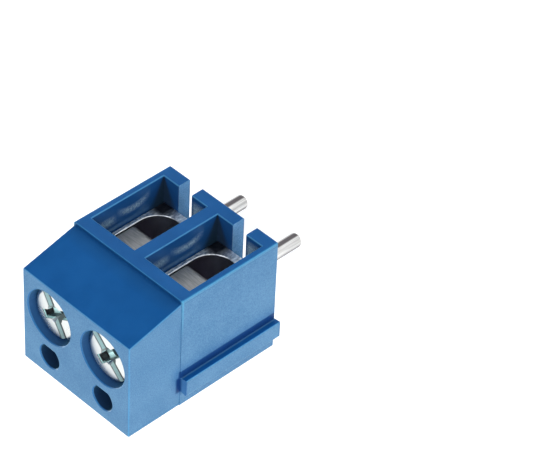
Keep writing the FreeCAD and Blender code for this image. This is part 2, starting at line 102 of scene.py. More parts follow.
def make_camera():
    """A long lens from the photograph's side, rolled as the photograph is."""
    data = bpy.data.cameras.new("camera")
    data.sensor_width = SENSOR_MM
    data.lens = FOCAL_PIXELS * SENSOR_MM / IMAGE_WIDTH
    data.clip_start, data.clip_end = [distance * MM for distance in CLIP]
    camera = bpy.data.objects.new("camera", data)
    bpy.context.scene.collection.objects.link(camera)
    back = -Vector(CAMERA_FORWARD).normalized()
    right = Vector(CAMERA_UP).cross(back).normalized()
    up = back.cross(right)
    turn = Matrix((right, up, back)).transposed().to_4x4()
    camera.matrix_world = Matrix.Translation(Vector(CAMERA_AT) * MM) @ turn
    bpy.context.scene.camera = camera


# Building blocks of the materials
BUMP_STRENGTH = 0.5


def new_material(name):
    """A material with an empty Principled shader, and its node tree."""
    material = bpy.data.materials.new(name)
    material.use_nodes = True
    tree = material.node_tree
    return material, tree, tree.nodes["Principled BSDF"]


def add(tree, kind, **inputs):
    """A node with some of its inputs set; names starting with an underscore are properties."""
    node = tree.nodes.new(kind)
    for name, value in inputs.items():
        if name.startswith("_"):
            setattr(node, name[1:], value)
        else:
            node.inputs[name.replace("_", " ")].default_value = value
    return node


def position(tree):
    """The object's own coordinates, in metres."""
    return tree.nodes.new("ShaderNodeTexCoord").outputs["Object"]


def axes(tree, source):
    """The three parts of a vector socket."""
    node = tree.nodes.new("ShaderNodeSeparateXYZ")
    tree.links.new(source, node.inputs[0])
    return tuple(node.outputs)


def facing(tree):
    """The parts of the surface's direction, in the object's own axes and without their signs."""
    direction = tree.nodes.new("ShaderNodeTexCoord").outputs["Normal"]
    return tuple(size_of(tree, part) for part in axes(tree, direction))


def noise(tree, scale, detail=3.0, stretch=None):
    """Noise with features of about 1/scale metres, drawn out along an axis if wanted."""
    texture = add(tree, "ShaderNodeTexNoise", Scale=scale, Detail=detail)
    source = position(tree)
    if stretch:
        mapping = add(tree, "ShaderNodeMapping", Scale=stretch)
        tree.links.new(source, mapping.inputs["Vector"])
        source = mapping.outputs["Vector"]
    tree.links.new(source, texture.inputs["Vector"])
    return texture.outputs["Fac"]


def between(tree, factor, low, high, start=0.0, end=1.0):
    """Maps a factor from start..end to low..high."""
    node = add(tree, "ShaderNodeMapRange")
    node.inputs["From Min"].default_value = start
    node.inputs["From Max"].default_value = end
    node.inputs["To Min"].default_value = low
    node.inputs["To Max"].default_value = high
    tree.links.new(factor, node.inputs["Value"])
    return node.outputs["Result"]


def blend(tree, factor, first, second):
    """A mix of two values, given or from sockets: numbers if the second is given as one, or colours."""
    is_number = isinstance(second, (int, float))
    node = add(tree, "ShaderNodeMix", _data_type="FLOAT" if is_number else "RGBA")
    sockets = node.inputs[2:4] if is_number else node.inputs[6:8]
    for socket, value in zip(sockets, (first, second)):
        if isinstance(value, tuple):
            socket.default_value = (*value, 1.0)
        elif isinstance(value, (int, float)):
            socket.default_value = value
        else:
            tree.links.new(value, socket)
    tree.links.new(factor, node.inputs["Factor"])
    return node.outputs[0 if is_number else 2]


def bump(tree, height, depth):
    """A bump of a depth in millimetres."""
    node = add(tree, "ShaderNodeBump", Strength=BUMP_STRENGTH, Distance=depth * MM)
    tree.links.new(height, node.inputs["Height"])
    return node.outputs["Normal"]


def maths(tree, operation, *values):
    """Arithmetic on sockets and numbers, from left to right; a one-value operation gets 0.0 too."""
    result = values[0]
    for value in values[1:]:
        node = add(tree, "ShaderNodeMath", _operation=operation)
        for socket, part in zip(node.inputs, (result, value)):
            if isinstance(part, (int, float)):
                socket.default_value = part
            else:
                tree.links.new(part, socket)
        result = node.outputs[0]
    return result


def product(tree, *values):
    """All the masks or numbers multiplied."""
    return maths(tree, "MULTIPLY", *values)


def either(tree, *values):
    """The largest of some masks."""
    return maths(tree, "MAXIMUM", *values)


def size_of(tree, value):
    """The value without its sign."""
    return maths(tree, "ABSOLUTE", value, 0.0)


def inverse(tree, mask):
    """One where the mask is nought."""
    return maths(tree, "SUBTRACT", 1.0, mask)


def rise(tree, value, start, end):
    """A mask that rises from nought to one between two values."""
    return between(tree, value, 0.0, 1.0, start, end)


def fall(tree, value, start, end):
    """A mask that falls from one to nought between two values."""
    return between(tree, value, 1.0, 0.0, start, end)


def above(tree, value, edge, soft):
    """A mask that rises from nought to one round an edge given in millimetres."""
    return rise(tree, value, (edge - soft) * MM, (edge + soft) * MM)


def below(tree, value, edge, soft):
    """A mask that falls from one to nought round an edge given in millimetres."""
    return inverse(tree, above(tree, value, edge, soft))


def within(tree, value, low, high, soft):
    """A mask for low..high in millimetres."""
    return product(tree, above(tree, value, low, soft), below(tree, value, high, soft))


def off_pole(tree, x):
    """Distance across from the nearer pole's middle plane, below nought on its -X side."""
    pole = product(tree, maths(tree, "SIGN", x, 0.0), HALF_PITCH * MM)
    return maths(tree, "SUBTRACT", x, pole)


def from_pole(tree, x):
    """Distance across from the nearer pole's middle plane."""
    return size_of(tree, off_pole(tree, x))


def from_walls(tree, x, z):
    """Distances from a well's floor and from its nearer side wall."""
    to_floor = maths(tree, "SUBTRACT", z, WELL_FLOOR * MM)
    to_side = maths(tree, "SUBTRACT", HALF_WELL * MM, from_pole(tree, x))
    return to_floor, to_side


# The plastic's colours
PLASTIC_LOW = (0.001, 0.051, 0.212)
PLASTIC_HIGH = (0.003, 0.063, 0.243)
# painted reflection: the paler blues of the faces that a bright surround would haze
HAZE_LOW = (0.043, 0.121, 0.258)
HAZE_HIGH = (0.086, 0.193, 0.343)
# painted shade: the bores' and holes' walls darker
BORE_WALL_SHADE = (0.018, 0.062, 0.18)
HOLE_WALL_SHADE = (0.01, 0.03, 0.085)
# painted shade: the wells' walls a little darker than the outside
WELL_WALL_SHADE = (0.01, 0.056, 0.195)
# painted haze on the slot walls that face along X
SLOT_HAZE_LOW = (0.065, 0.19, 0.4)
SLOT_HAZE_HIGH = (0.135, 0.31, 0.56)
# painted reflection, pale, in the wells
GLINT = (0.42, 0.6, 0.72)
# painted highlight on the rounded edges
EDGE_SHINE = (0.11, 0.34, 0.56)
# painted highlight on strips by the wire face and the step
CYAN_SHINE = (0.07, 0.34, 0.54)
SHADOWED = (0.003, 0.03, 0.125)
# painted reflection of the rib, dark on the side beside it
MIRRORED = (0.001, 0.012, 0.105)
LINE = (0.03, 0.12, 0.25)
# painted highlight along the rib's root
ROOT_LINE = (0.04, 0.12, 0.28)
# painted shade in the wells' corners
CORNER_SHADE = (0.012, 0.016, 0.03)

# The plastic's shader, its noises (scale, detail), the parts of them that count, and its bump
SATIN = {
    "IOR": 1.5,
    "Specular IOR Level": 0.25,
    "Specular Tint": (0.1, 0.8, 1.0, 1.0),
    "Sheen Weight": 0.08,
    "Sheen Roughness": 0.5,
    "Sheen Tint": (0.25, 0.95, 1.0, 1.0),
}
MOTTLE, MOTTLE_SPAN = (500.0, 4.0), (0.35, 0.65)
GRAIN, SPECKLE_SPAN = (12500.0, 2.0), (0.38, 0.62)
# the noise that varies the painted reflections in the wells
GLINT_NOISE, GLINT_NOISE_SPAN, GLINT_NOISE_WEIGHTS = (9000.0, 2.0), (0.35, 0.65), (0.25, 0.75)
MOTTLE_SHARE, GRAIN_SHARE = 0.3, 0.7
SATIN_SPAN, SATIN_ROUGHNESS, WELL_ROUGHNESS = (0.3, 0.7), (0.36, 0.5), 0.16
GRAIN_DEPTH = 0.006

# The housing's outer surfaces; a border is (place, softness) and a strip (from, to, softness)
SIDE_BORDER = (HALF_WIDTH - 0.12, 0.03)
BACK_BORDER = (BACK - 0.07, 0.03)
TOP_BORDER = (SCREW_FACE - 0.1, 0.03)
SEAT_BORDER = (0.04, 0.03)
FRONT_BORDER = (WIRE_FACE + 0.09, 0.02)

# How far along one axis a surface faces, to get the painted haze or to be no edge; the strength of the
# painted highlight on edges
SQUARE_ON = (0.6, 0.95)
TILTED = (0.86, 0.955)
EDGE_WEIGHT, RIM_WEIGHT = 0.42, 0.12
RIM_TOP = (SCREW_FACE - 0.2, 0.05)
RIM_SIDE = (HALF_WIDTH - 0.2, 0.02)
RIM_FRONT = (SCREW_FACE_FRONT + 0.08, 0.02)

# Painted shade and reflection by the rib: bands on the side, beside the rib and above its end, without the
# painted haze, darker bands there that paint the rib's reflection, and the rib's own top
BESIDE_RIB = (-HALF_WIDTH - 0.05, -HALF_WIDTH + 0.07, 0.02)
FLANK_BAND, FLANK_TOP, FLANK_WEIGHT = (RIB_START - 0.6, RIB_START, 0.05), (STEP + 0.1, 0.1), 0.9
END_BAND, END_HEIGHT = (RIB_START - 0.1, RIB_END, 0.1), (STEP - 0.06, STEP + 0.33, 0.1)
HALO, HALO_TOP, HALO_WEIGHT = (RIB_START - 1.0, RIB_END, 0.4), (STEP + 0.6, 0.3), 0.3
RIB_OUTSIDE, RIB_TOP, RIB_TOP_WEIGHT = (-HALF_WIDTH - 0.03, 0.02), (STEP - 0.12, 0.02), 0.5
MIRRORED_WEIGHT = 0.95

# Mould lines, and a painted highlight along the rib's root
FRONT_LINE, FRONT_LINE_TOP = (WIRE_FACE + 0.23, WIRE_FACE + 0.28, 0.015), (STEP - 0.1, 0.05)
BACK_LINE, BACK_LINE_FOOT = (BACK - 0.29, BACK - 0.24, 0.015), (STEP, 0.05)
FACE_LINE, FACE_LINE_WEIGHT = (SCREW_FACE_FRONT + 0.32, SCREW_FACE_FRONT + 0.36, 0.015), 0.5
ROOT_STRIP, ROOT_TOP = (RIB_START - 0.035, RIB_START + 0.025, 0.015), (STEP, 0.05)
ROOT_SIDE = (-HALF_WIDTH - 0.1, -HALF_WIDTH + 0.07, 0.02)

# Painted highlights: shiny strips by the wire face, under the step and on its ledge
BY_FRONT, BY_FRONT_WEIGHT = (WIRE_FACE + 0.2, 0.03), 0.35
BY_STEP, BY_STEP_FADE = (STEP - 0.16, STEP + 0.01, 0.03), (-2.2, 1.5)
LEDGE_FRONT, LEDGE_TOP, LEDGE_WEIGHT = (WIRE_FACE + 0.05, 0.02), (STEP - 0.06, 0.02), 0.5
SHINY_WEIGHT = 0.45

# Painted shade: the darker foot of the sloping front
SLOPE_TOP, SLOPE_FOOT, SLOPE_WEIGHT = (STEP + 0.5, 0.7), (STEP - 0.02, 0.02), 0.7
SLOPE_BACK, SLOPE_FRONT = (SCREW_FACE_FRONT - 0.02, 0.1), (WIRE_FACE + 0.05, 0.02)

# The wells: their walls, painted a little darker as shade, and in them painted shade from the corners, up to
# a share of the depth
WELL_BACK, WELL_WEIGHT = (CLAMP_FRONT + 0.1, 0.02), 0.7
WELL_FOOT, WELL_TOP = (WELL_FLOOR - 0.05, 0.02), (WELL_ROOF + 0.15, 0.1)
LEAST_DEPTH = 0.1
CORNER_SPAN, CORNER_WEIGHT = (0.35, 0.65), 0.85
GLOOM_SPAN, GLOOM_WEIGHT = (0.5, 1.5), 0.5

# Painted reflections in the wells: an arc and a patch on the side walls, and spots on the floors
ON_SURFACE = (0.05, 0.02)
GLINT_CENTRE, GLINT_RING = (WIRE_FACE - 1.86, WELL_FLOOR + 2.7), (2.86, 3.2, 0.2)
GLINT_HEIGHT = (WELL_FLOOR + 1.6, WELL_FLOOR + 3.6, 0.5)
PATCH_HEIGHT, PATCH_WEIGHT = (WELL_FLOOR + 4.3, WELL_FLOOR + 5.6, 0.3), 0.7
PATCH_DEPTH = (WIRE_FACE + 1.0, WIRE_FACE + 1.55, 0.2)
FLOOR_SIDE, FLOOR_DEPTH = (-0.75, 0.15), (WIRE_FACE + 0.6, WIRE_FACE + 1.7, 0.3)

# The bores and holes, without the joining groove, whose walls get painted shade; the walls of the slots in
# the floor, painted paler as haze
BORE_FOOT = (WELL_ROOF + 0.25, 0.05)
BORE_FRONT, HOLE_FRONT = (-BORE_RADIUS - 0.15, 0.02), (BORE_RADIUS + 0.05, 0.02)
GROOVE_SIDE = (HALF_WIDTH - RIB_PROUD - RIB_GAP - 0.05, 0.02)
GROOVE_FRONT = (RIB_START - 0.32, 0.05)
SLOT_TOP, SLOT_FACE, SLOT_REACH = (WELL_FLOOR - 0.03, 0.02), (0.8, 0.95), (1.2, 0.05)


def housing_skin(tree, place):
    """Masks of the two sides, of the back, and of the whole skin with the screw face and the seat."""
    x, y, z = place
    sides = above(tree, size_of(tree, x), *SIDE_BORDER)
    back = above(tree, y, *BACK_BORDER)
    skin = either(tree, sides, back, above(tree, z, *TOP_BORDER), below(tree, z, *SEAT_BORDER))
    return sides, back, skin


def rib_bands(tree, place):
    """Where the side by the rib and the rib's top get no painted haze, which paints shade there, and where a
    reflection of the rib is painted on the side.
    """
    x, y, z = place
    side = within(tree, x, *BESIDE_RIB)
    flank = product(tree, within(tree, y, *FLANK_BAND), below(tree, z, *FLANK_TOP))
    end = product(tree, within(tree, y, *END_BAND), within(tree, z, *END_HEIGHT))
    halo = product(tree, within(tree, y, *HALO), below(tree, z, *HALO_TOP), HALO_WEIGHT)
    rib_top = product(tree, below(tree, x, *RIB_OUTSIDE), above(tree, z, *RIB_TOP), RIB_TOP_WEIGHT)
    bands = product(tree, side, either(tree, flank, end, halo))
    mirrored = product(tree, side, either(tree, end, product(tree, flank, FLANK_WEIGHT)))
    return either(tree, bands, rib_top), mirrored


def mould_lines(tree, place, sides):
    """The thin lines on the sides and on the screw face."""
    _, y, z = place
    front = product(tree, within(tree, y, *FRONT_LINE), below(tree, z, *FRONT_LINE_TOP))
    back = product(tree, within(tree, y, *BACK_LINE), above(tree, z, *BACK_LINE_FOOT))
    face = product(tree, within(tree, y, *FACE_LINE), above(tree, z, *TOP_BORDER), FACE_LINE_WEIGHT)
    return either(tree, product(tree, sides, either(tree, front, back)), face)


def root_line(tree, place):
    """A painted highlight along the line where the rib's flank meets the side."""
    x, y, z = place
    return product(tree, within(tree, y, *ROOT_STRIP), within(tree, x, *ROOT_SIDE), below(tree, z, *ROOT_TOP))


def shiny_strips(tree, place, sides):
    """Painted highlights on strips by the wire face and the step."""
    _, y, z = place
    by_front = product(tree, sides, below(tree, y, *BY_FRONT), BY_FRONT_WEIGHT)
    by_step = product(tree, sides, within(tree, z, *BY_STEP), below(tree, y, *BY_STEP_FADE))
    ledge = product(tree, below(tree, y, *LEDGE_FRONT), above(tree, z, *LEDGE_TOP), LEDGE_WEIGHT)
    return either(tree, by_front, by_step, ledge)


def edge_shine(tree, place, directions, outside):
    """Painted highlights on the rounded edges of the outside, fainter round the bores and holes in the screw
    face.
    """
    x, y, z = place
    tilted = fall(tree, either(tree, *directions), *TILTED)
    rim = product(
        tree, above(tree, z, *RIM_TOP), below(tree, size_of(tree, x), *RIM_SIDE), above(tree, y, *RIM_FRONT))
    return product(tree, tilted, outside, between(tree, rim, EDGE_WEIGHT, RIM_WEIGHT))


def slope_foot(tree, place, skin):
    """The sloping front, with painted shade that darkens it towards the step."""
    _, y, z = place
    height = product(tree, below(tree, z, *SLOPE_TOP), above(tree, z, *SLOPE_FOOT))
    depth = product(tree, below(tree, y, *SLOPE_BACK), above(tree, y, *SLOPE_FRONT))
    return product(tree, height, depth, inverse(tree, skin))


def well_masks(tree, place, outside):
    """The wells' walls, and in them painted shade that spreads from the corners with the depth."""
    x, y, z = place
    well = product(tree, below(tree, y, *WELL_BACK), inverse(tree, outside))
    well = product(tree, well, above(tree, z, *WELL_FOOT), below(tree, z, *WELL_TOP))
    depth = either(tree, maths(tree, "SUBTRACT", y, WIRE_FACE * MM), LEAST_DEPTH * MM)
    from_corner = maths(tree, "DIVIDE", either(tree, *from_walls(tree, x, z)), depth)
    corner = product(tree, well, fall(tree, from_corner, *CORNER_SPAN))
    gloom = product(tree, well, fall(tree, from_corner, *GLOOM_SPAN), GLOOM_WEIGHT)
    return well, corner, gloom


def painted_glints(tree, place, well):
    """An arc and a patch painted pale on the wells' side walls, and spots on their floors: painted
    reflections.
    """
    x, y, z = place
    to_floor, to_side = from_walls(tree, x, z)
    arms = [
        maths(tree, "SUBTRACT", part, middle * MM) for part, middle in zip((y, z), GLINT_CENTRE)]
    square = maths(tree, "ADD", *[product(tree, arm, arm) for arm in arms])
    reach = maths(tree, "POWER", square, 0.5)
    arc = product(tree, within(tree, reach, *GLINT_RING), within(tree, z, *GLINT_HEIGHT))
    patch = product(tree, within(tree, z, *PATCH_HEIGHT), within(tree, y, *PATCH_DEPTH), PATCH_WEIGHT)
    on_wall = product(tree, below(tree, to_side, *ON_SURFACE), either(tree, arc, patch))
    on_floor = product(
        tree, below(tree, to_floor, *ON_SURFACE),
        below(tree, off_pole(tree, x), *FLOOR_SIDE), within(tree, y, *FLOOR_DEPTH))
    return product(tree, well, either(tree, on_wall, on_floor))


def bore_masks(tree, place, skin):
    """The walls of the screw bores and the holes together, and of the holes alone, where painted shade
    darkens them.
    """
    x, y, z = place
    bore = product(tree, inverse(tree, skin), above(tree, z, *BORE_FOOT), above(tree, y, *BORE_FRONT))
    groove = product(tree, above(tree, x, *GROOVE_SIDE), above(tree, y, *GROOVE_FRONT))
    bore = product(tree, bore, inverse(tree, groove))
    return bore, product(tree, bore, above(tree, y, *HOLE_FRONT))


def slot_mask(tree, place, across, skin):
    """The walls of the pins' slots in the floor that face along X, painted paler as haze."""
    x, _, z = place
    low = product(tree, below(tree, z, *SLOT_TOP), inverse(tree, skin))
    return product(tree, low, rise(tree, across, *SLOT_FACE), below(tree, from_pole(tree, x), *SLOT_REACH))


def plastic_layers(tree, speckle, glint_noise):
    """What lies on the plain plastic, as masks and colours from the bottom up; and the wells' mask."""
    place = axes(tree, position(tree))
    directions = facing(tree)
    across, along, up = directions
    sides, back, skin = housing_skin(tree, place)
    outside = either(tree, skin, below(tree, place[1], *FRONT_BORDER))
    bands, mirrored = rib_bands(tree, place)
    square_on = either(tree, across, up, product(tree, along, back))
    # painted reflection: faces that face along X or Z, and the back, get a paler blue as haze
    painted_haze = product(tree, rise(tree, square_on, *SQUARE_ON), skin, inverse(tree, bands))
    well, corner, gloom = well_masks(tree, place, outside)
    bore, hole = bore_masks(tree, place, skin)
    layers = (
        (painted_haze, blend(tree, speckle, HAZE_LOW, HAZE_HIGH)),
        (product(tree, mirrored, MIRRORED_WEIGHT), MIRRORED),
        (root_line(tree, place), ROOT_LINE),
        (product(tree, slope_foot(tree, place, skin), SLOPE_WEIGHT), SHADOWED),
        (bore, BORE_WALL_SHADE),
        (hole, HOLE_WALL_SHADE),
        (product(tree, well, WELL_WEIGHT), WELL_WALL_SHADE),
        (gloom, SHADOWED),
        (slot_mask(tree, place, across, skin), blend(tree, speckle, SLOT_HAZE_LOW, SLOT_HAZE_HIGH)),
        (product(tree, painted_glints(tree, place, well), glint_noise), GLINT),
        (product(tree, mould_lines(tree, place, sides), painted_haze), LINE),
        (edge_shine(tree, place, directions, outside), EDGE_SHINE),
        (product(tree, shiny_strips(tree, place, sides), SHINY_WEIGHT), CYAN_SHINE),
        (product(tree, corner, CORNER_WEIGHT), CORNER_SHADE),
    )
    return layers, well


def housing_plastic():
    """Deep blue moulded plastic: satin on the wire side, spark-eroded on the other sides, which are painted a
    paler blue as a painted reflection of a bright surround.
    """
    material, tree, shader = new_material("housing_plastic")
    mottle = noise(tree, *MOTTLE)
    grain = noise(tree, *GRAIN)
    speckle = maths(tree, "ADD", product(tree, mottle, MOTTLE_SHARE), product(tree, grain, GRAIN_SHARE))
    speckle = rise(tree, speckle, *SPECKLE_SPAN)
    glint_noise = between(tree, noise(tree, *GLINT_NOISE), *GLINT_NOISE_WEIGHTS, *GLINT_NOISE_SPAN)
    layers, well = plastic_layers(tree, speckle, glint_noise)
    colour = blend(tree, rise(tree, mottle, *MOTTLE_SPAN), PLASTIC_LOW, PLASTIC_HIGH)
    for mask, layer in layers:
        colour = blend(tree, mask, colour, layer)
    tree.links.new(colour, shader.inputs["Base Color"])
    satin = between(tree, grain, *SATIN_ROUGHNESS, *SATIN_SPAN)
    tree.links.new(blend(tree, well, satin, WELL_ROUGHNESS), shader.inputs["Roughness"])
    for name, value in SATIN.items():
        shader.inputs[name].default_value = value
    tree.links.new(bump(tree, grain, GRAIN_DEPTH), shader.inputs["Normal"])
    return material


# Finishes of the metal pieces: two tints, roughness, and the streaks' stretch, scale and depth
CLAMP_FINISH = {
    "tints": ((0.36, 0.41, 0.47), (0.93, 0.98, 1.0)), "roughness": (0.3, 0.5),
    "stretch": (1.0, 1.0, 0.5), "scale": 7000.0}
GUARD_FINISH = {
    "tints": ((0.2, 0.21, 0.215), (0.34, 0.35, 0.355)), "roughness": (0.42, 0.55),
    "stretch": (0.12, 1.0, 1.0), "scale": 9000.0}
SCREW_FINISH = {
    "tints": ((0.66, 0.69, 0.68), (0.75, 0.78, 0.77)), "roughness": (0.26, 0.3),
    "stretch": (1.0, 1.0, 1.0), "scale": 500.0, "depth": 0.0}
PIN_FINISH = {
    "tints": ((0.42, 0.41, 0.4), (0.88, 0.88, 0.86)), "roughness": (0.14, 0.26),
    "stretch": (1.0, 1.0, 0.05), "scale": 5000.0}
STREAK_SPAN = (0.3, 0.7)
STREAK_DEPTH = 0.002

# Painted shade: the clamps' wire ways, seen past their front rims, painted dark, and their corners painted
# darker
WAY_SIDE, WAY_FRONT = (1.8, 0.03), (CLAMP_FRONT + 0.06, 0.02)
CLAMP_CORNER, CLAMP_CORNER_WEIGHT = (1.1, 0.3), 0.95
CLAMP_CORNER_SHADE = (0.02, 0.024, 0.045)
WIRE_WAY_SHADE = (0.26, 0.25, 0.31)

# Painted light and shade in the slot and the cross of a screw; along and across are measured from the screw's
# axis
SHADED_TEAL = (0.05, 0.085, 0.095)
LIT_TEAL = (0.68, 1.0, 1.0)
FAR_END_SHADOW = (0.012, 0.008, 0.012)
RECESS_TOP, HALF_ARM = (0.02, 0.01), (0.36, 0.02)
BRIGHT_WALL, BRIGHT_FLOOR, FLOOR_LEVELS = (0.06, 0.3, 0.025), (-0.04, 0.3, 0.03), (0.3, 1.0)
LEVEL = (0.75, 0.9)
FAR_END_START, FAR_END_SIDE, FAR_END_TOP = (1.12, 0.05), (0.27, 0.08), (0.14, 0.05)

# Painted reflections: dark stripes along the pins, at places round them
PIN_DARK_REFLECTION = (0.12, 0.11, 0.115)
STREAKS_ROUND = 3.0
PIN_STREAK_SPAN, UPRIGHT = (0.2, 0.7), (0.4, 0.8)


def plated(name, tints, roughness, stretch, scale, depth=STREAK_DEPTH, shade=None):
    """Plated metal with streaks; a shade gives a mask, another colour and how metallic that is."""
    material, tree, shader = new_material(name)
    streak = noise(tree, scale, stretch=stretch)
    metal = blend(tree, rise(tree, streak, *STREAK_SPAN), *tints)
    if shade:
        mask, other, bareness = shade(tree)
        metal = blend(tree, mask, metal, other)
        tree.links.new(blend(tree, mask, 1.0, bareness), shader.inputs["Metallic"])
    tree.links.new(metal, shader.inputs["Base Color"])
    tree.links.new(between(tree, streak, *roughness, *STREAK_SPAN), shader.inputs["Roughness"])
    shader.inputs["Metallic"].default_value = 1.0
    if depth:
        tree.links.new(bump(tree, streak, depth), shader.inputs["Normal"])
    return material


def way_shade(tree):
    """Painted shade: the inside of a clamp's wire way painted dark and dull, and the clamp's corners darker
    still.
    """
    x, y, z = axes(tree, position(tree))
    inside = product(tree, below(tree, from_pole(tree, x), *WAY_SIDE), above(tree, y, *WAY_FRONT))
    from_corner = either(tree, *from_walls(tree, x, z))
    corner = product(tree, below(tree, from_corner, *CLAMP_CORNER), CLAMP_CORNER_WEIGHT)
    return either(tree, inside, corner), blend(tree, inside, CLAMP_CORNER_SHADE, WIRE_WAY_SHADE), 1.0


def turned_axes(tree, x, y, name):
    """Distances from a screw's axis, across its slot and along it."""
    turn = math.radians(SLOT_TURN[name])
    pole = HALF_PITCH * MM * (1.0 if name == "screw_1" else -1.0)
    x = maths(tree, "SUBTRACT", x, pole)
    across = maths(tree, "ADD", product(tree, x, math.cos(turn)), product(tree, y, math.sin(turn)))
    along = maths(tree, "SUBTRACT", product(tree, y, math.cos(turn)), product(tree, x, math.sin(turn)))
    return across, along


def recess_shade(tree, name):
    """The slot and the cross of a screw: painted highlights on the upper walls and floors, painted shade on
    the rims, corners and far end.
    """
    x, y, z = axes(tree, position(tree))
    across, along = turned_axes(tree, x, y, name)
    depth = maths(tree, "SUBTRACT", HEAD_TOP * MM, z)
    level = rise(tree, facing(tree)[2], *LEVEL)
    floor = between(tree, within(tree, along, *BRIGHT_FLOOR), *FLOOR_LEVELS)
    bright = blend(tree, level, within(tree, depth, *BRIGHT_WALL), floor)
    far_end = product(
        tree, above(tree, across, *FAR_END_START),
        below(tree, size_of(tree, along), *FAR_END_SIDE), above(tree, depth, *FAR_END_TOP))
    bright = product(tree, bright, inverse(tree, far_end))
    colour = blend(tree, bright, SHADED_TEAL, LIT_TEAL)
    colour = blend(tree, far_end, colour, FAR_END_SHADOW)
    in_arms = either(tree, *[below(tree, size_of(tree, part), *HALF_ARM) for part in (along, across)])
    return product(tree, above(tree, depth, *RECESS_TOP), in_arms), colour, 0.0


def pin_shade(tree):
    """Dark stripes along a pin, painted as reflections, each at its own place round it, and none on its flat
    ends.
    """
    x, y, _ = axes(tree, position(tree))
    off_axis = maths(tree, "SUBTRACT", size_of(tree, x), HALF_PITCH * MM)
    turn = maths(tree, "ARCTAN2", y, off_axis)
    streak = maths(tree, "SINE", product(tree, turn, STREAKS_ROUND), 0.0)
    upright = fall(tree, facing(tree)[2], *UPRIGHT)
    return product(tree, rise(tree, streak, *PIN_STREAK_SPAN), upright), PIN_DARK_REFLECTION, 1.0


def clamp_metal():
    """Brass with a bright tin plating."""
    return plated("clamp_metal", **CLAMP_FINISH, shade=way_shade)


def guard_metal():
    """Brushed steel sheet."""
    return plated("guard_metal", **GUARD_FINISH)


def screw_metal(name):
    """Zinc-plated steel; each screw has its own, because their slots are turned differently."""
    return plated(name + "_metal", **SCREW_FINISH, shade=functools.partial(recess_shade, name=name))


def pin_metal():
    """Drawn brass wire with a bright tin plating."""
    return plated("pin_metal", **PIN_FINISH, shade=pin_shade)


# The joining groove: its cutter's overshoot, the merging of corners, and what is the same face
OVERCUT = 1.0
MERGE = 0.0001
NUDGE = 0.02
SAME_PLACE = 0.002
SAME_WAY = 0.98


def groove_cutter():
    """The groove's space: the rib's dovetail with its clearance, from below the seat to the step."""
    reach = RIB_PROUD + RIB_GAP
    spread = RIB_GAP + RIB_FLARE * reach / RIB_PROUD
    section = [
        (HALF_WIDTH + OVERCUT, RIB_START - RIB_GAP), (HALF_WIDTH, RIB_START - RIB_GAP),
        (HALF_WIDTH - reach, RIB_START - spread), (HALF_WIDTH - reach, RIB_END + spread),
        (HALF_WIDTH, RIB_END + RIB_GAP), (HALF_WIDTH + OVERCUT, RIB_END + RIB_GAP)]
    shape = bmesh.new()
    rings = [[shape.verts.new((x * MM, y * MM, z * MM)) for x, y in section] for z in (-OVERCUT, STEP)]
    shape.faces.new(rings[0])
    shape.faces.new(list(reversed(rings[1])))
    for i, corner in enumerate(rings[0]):
        following = (i + 1) % len(section)
        shape.faces.new((rings[0][following], corner, rings[1][i], rings[1][following]))
    bmesh.ops.recalc_face_normals(shape, faces=shape.faces)
    mesh = bpy.data.meshes.new("groove_cutter")
    shape.to_mesh(mesh)
    shape.free()
    return bpy.data.objects.new("groove_cutter", mesh)


def merged_copy(source, name):
    """A copy of a CAD node whose triangles share their corners."""
    shape = bmesh.new()
    shape.from_mesh(source.data)
    bmesh.ops.remove_doubles(shape, verts=shape.verts, dist=MERGE * MM)
    mesh = bpy.data.meshes.new(name)
    shape.to_mesh(mesh)
    shape.free()
    return bpy.data.objects.new(name, mesh)


def match_normals(mesh, source):
    """Takes the shading of the CAD mesh over to the faces that it shares; new faces are flat."""
    triangles = [tuple(face.vertices) for face in source.polygons]
    tree = BVHTree.FromPolygons([vertex.co for vertex in source.vertices], triangles)
    shading = [Vector(corner.vector) for corner in source.corner_normals]
    normals = []
    for face in mesh.polygons:
        face.use_smooth = True
        for index in face.vertices:
            place = mesh.vertices[index].co.lerp(face.center, NUDGE)
            hits = tree.find_nearest_range(place, SAME_PLACE * MM)
            found = [hit for hit in hits if hit[1].dot(face.normal) > SAME_WAY]
            if not found:
                normals.append(face.normal.copy())
                continue
            spot, _, number, _ = min(found, key=lambda hit: hit[3])
            corners = [source.vertices[i].co for i in triangles[number]]
            weights = interpolate.poly_3d_calc(corners, spot)
            start = source.polygons[number].loop_start
            parts = (shading[start + i] * weight for i, weight in enumerate(weights))
            normals.append(sum(parts, Vector()).normalized())
    mesh.normals_split_custom_set(normals)


def grooved_housing(material):
    """The CAD housing with the joining groove of its +X side, which the CAD solid lacks."""
    source = NODES["housing"]
    whole = merged_copy(source, "housing_whole")
    cutter = groove_cutter()
    for each in (whole, cutter):
        bpy.context.scene.collection.objects.link(each)
    cut = whole.modifiers.new("groove", "BOOLEAN")
    cut.operation = "DIFFERENCE"
    cut.solver = "EXACT"
    cut.object = cutter
    bpy.context.view_layer.update()
    result = bpy.data.meshes.new_from_object(whole.evaluated_get(bpy.context.evaluated_depsgraph_get()))
    result.name = "housing_moulding"
    for each in (whole, cutter):
        mesh = each.data
        bpy.data.objects.remove(each)
        bpy.data.meshes.remove(mesh)
    match_normals(result, source.data)
    result.materials.clear()
    result.materials.append(material)
    moulding = bpy.data.objects.new("housing_moulding", result)
    bpy.context.scene.collection.objects.link(moulding)
    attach(moulding, "block")
    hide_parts("housing")


def dress(nodes, material):
    """Gives CAD nodes one material."""
    for name in nodes:
        mesh = NODES[name].data
        mesh.materials.clear()
        mesh.materials.append(material)


